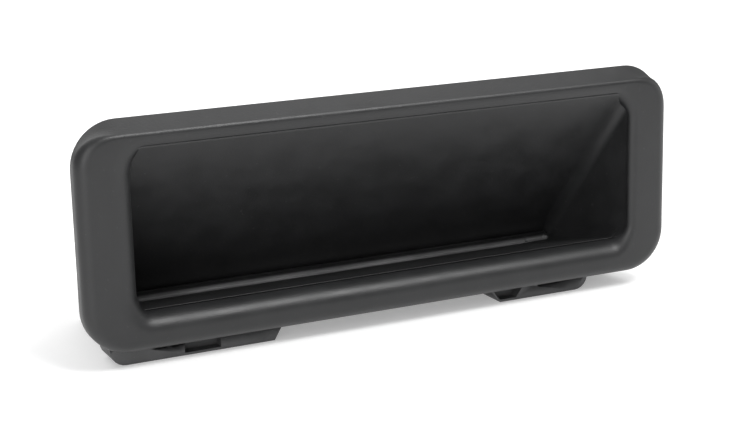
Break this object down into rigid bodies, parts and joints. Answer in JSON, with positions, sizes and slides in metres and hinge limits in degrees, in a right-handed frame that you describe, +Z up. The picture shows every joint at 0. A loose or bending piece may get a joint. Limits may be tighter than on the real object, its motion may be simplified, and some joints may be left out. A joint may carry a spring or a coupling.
{
  "type": "recessed release grip",
  "caption": "Recessed vehicle closure grip: soft rim round a wedge-shaped finger pocket, with a sprung release pad that works a microswitch.",
  "frame": {"origin": "middle of the part's box at the level of the feet it stands on", "axes": "+X along the grip, +Y into the vehicle, away from the rim's face, +Z up from the feet to the rim's crest"},
  "size_m": [0.13, 0.048, 0.0478],
  "materials": {
    "soft_rim": "soft-touch matt rubber",
    "pocket_liner": "fine satin grain",
    "housing_plastic": "moulded, matt",
    "pad_rubber": "soft matt rubber",
    "rocker_plastic": "glass-filled moulding",
    "pin_steel": "ground",
    "spring_steel": "spring temper",
    "screw_steel": "zinc plated",
    "switch_plastic": "moulded",
    "plunger_plastic": "moulded",
    "contact_brass": "plated",
    "connector_plastic": "moulded",
    "seal_rubber": "smooth",
    "gasket_foam": "closed-cell foam"
  },
  "bodies": {
    "grip_body": {"bezel_skin": "soft_rim", "pocket_tray": "pocket_liner", "rear_housing": "housing_plastic", "rocker_axle": "pin_steel", "axle_clips": "spring_steel", "return_spring_left": "spring_steel", "return_spring_right": "spring_steel", "microswitch_base": "switch_plastic", "microswitch_cover": "switch_plastic", "switch_terminals": "contact_brass", "switch_screws": "screw_steel", "contact_rails": "contact_brass", "switch_cover": "housing_plastic", "cover_seal": "seal_rubber", "cover_screws": "screw_steel", "connector_shroud": "connector_plastic", "tray_screws": "screw_steel", "stud_left": "pin_steel", "stud_right": "pin_steel", "panel_gasket": "gasket_foam", "snap_clip_left": "spring_steel", "snap_clip_right": "spring_steel"},
    "rocker": {"release_pad": "pad_rubber", "release_rocker": "rocker_plastic"},
    "plunger": {"microswitch_plunger": "plunger_plastic"},
    "blade": {"contact_blade": "contact_brass"}
  },
  "joints": [
    {"name": "pad_press", "type": "hinge", "parent": "grip_body", "child": "rocker", "pos_m": [0, 0.0098, 0.0038], "axis": [1, 0, 0], "range_deg": [0, 2.2], "stiffness_Nm_per_rad": 0.38, "springref_deg": -6.88, "deforming": ["return_spring_left", "return_spring_right"]},
    {"name": "plunger_press", "type": "slide", "parent": "grip_body", "child": "plunger", "axis": [0, -1, 0], "range_m": [0, 0.0009]},
    {"name": "blade_tilt", "type": "hinge", "parent": "grip_body", "child": "blade", "pos_m": [-0.0052, 0.00428, 0.0255], "axis": [0, 0, -1], "range_deg": [0, 7.5]}
  ],
  "couplings": [
    {"joint": "plunger_press", "follows": "pad_press", "m_per_rad": 0.0217},
    {"joint": "blade_tilt", "follows": "pad_press", "ratio": 3.19}
  ]
}
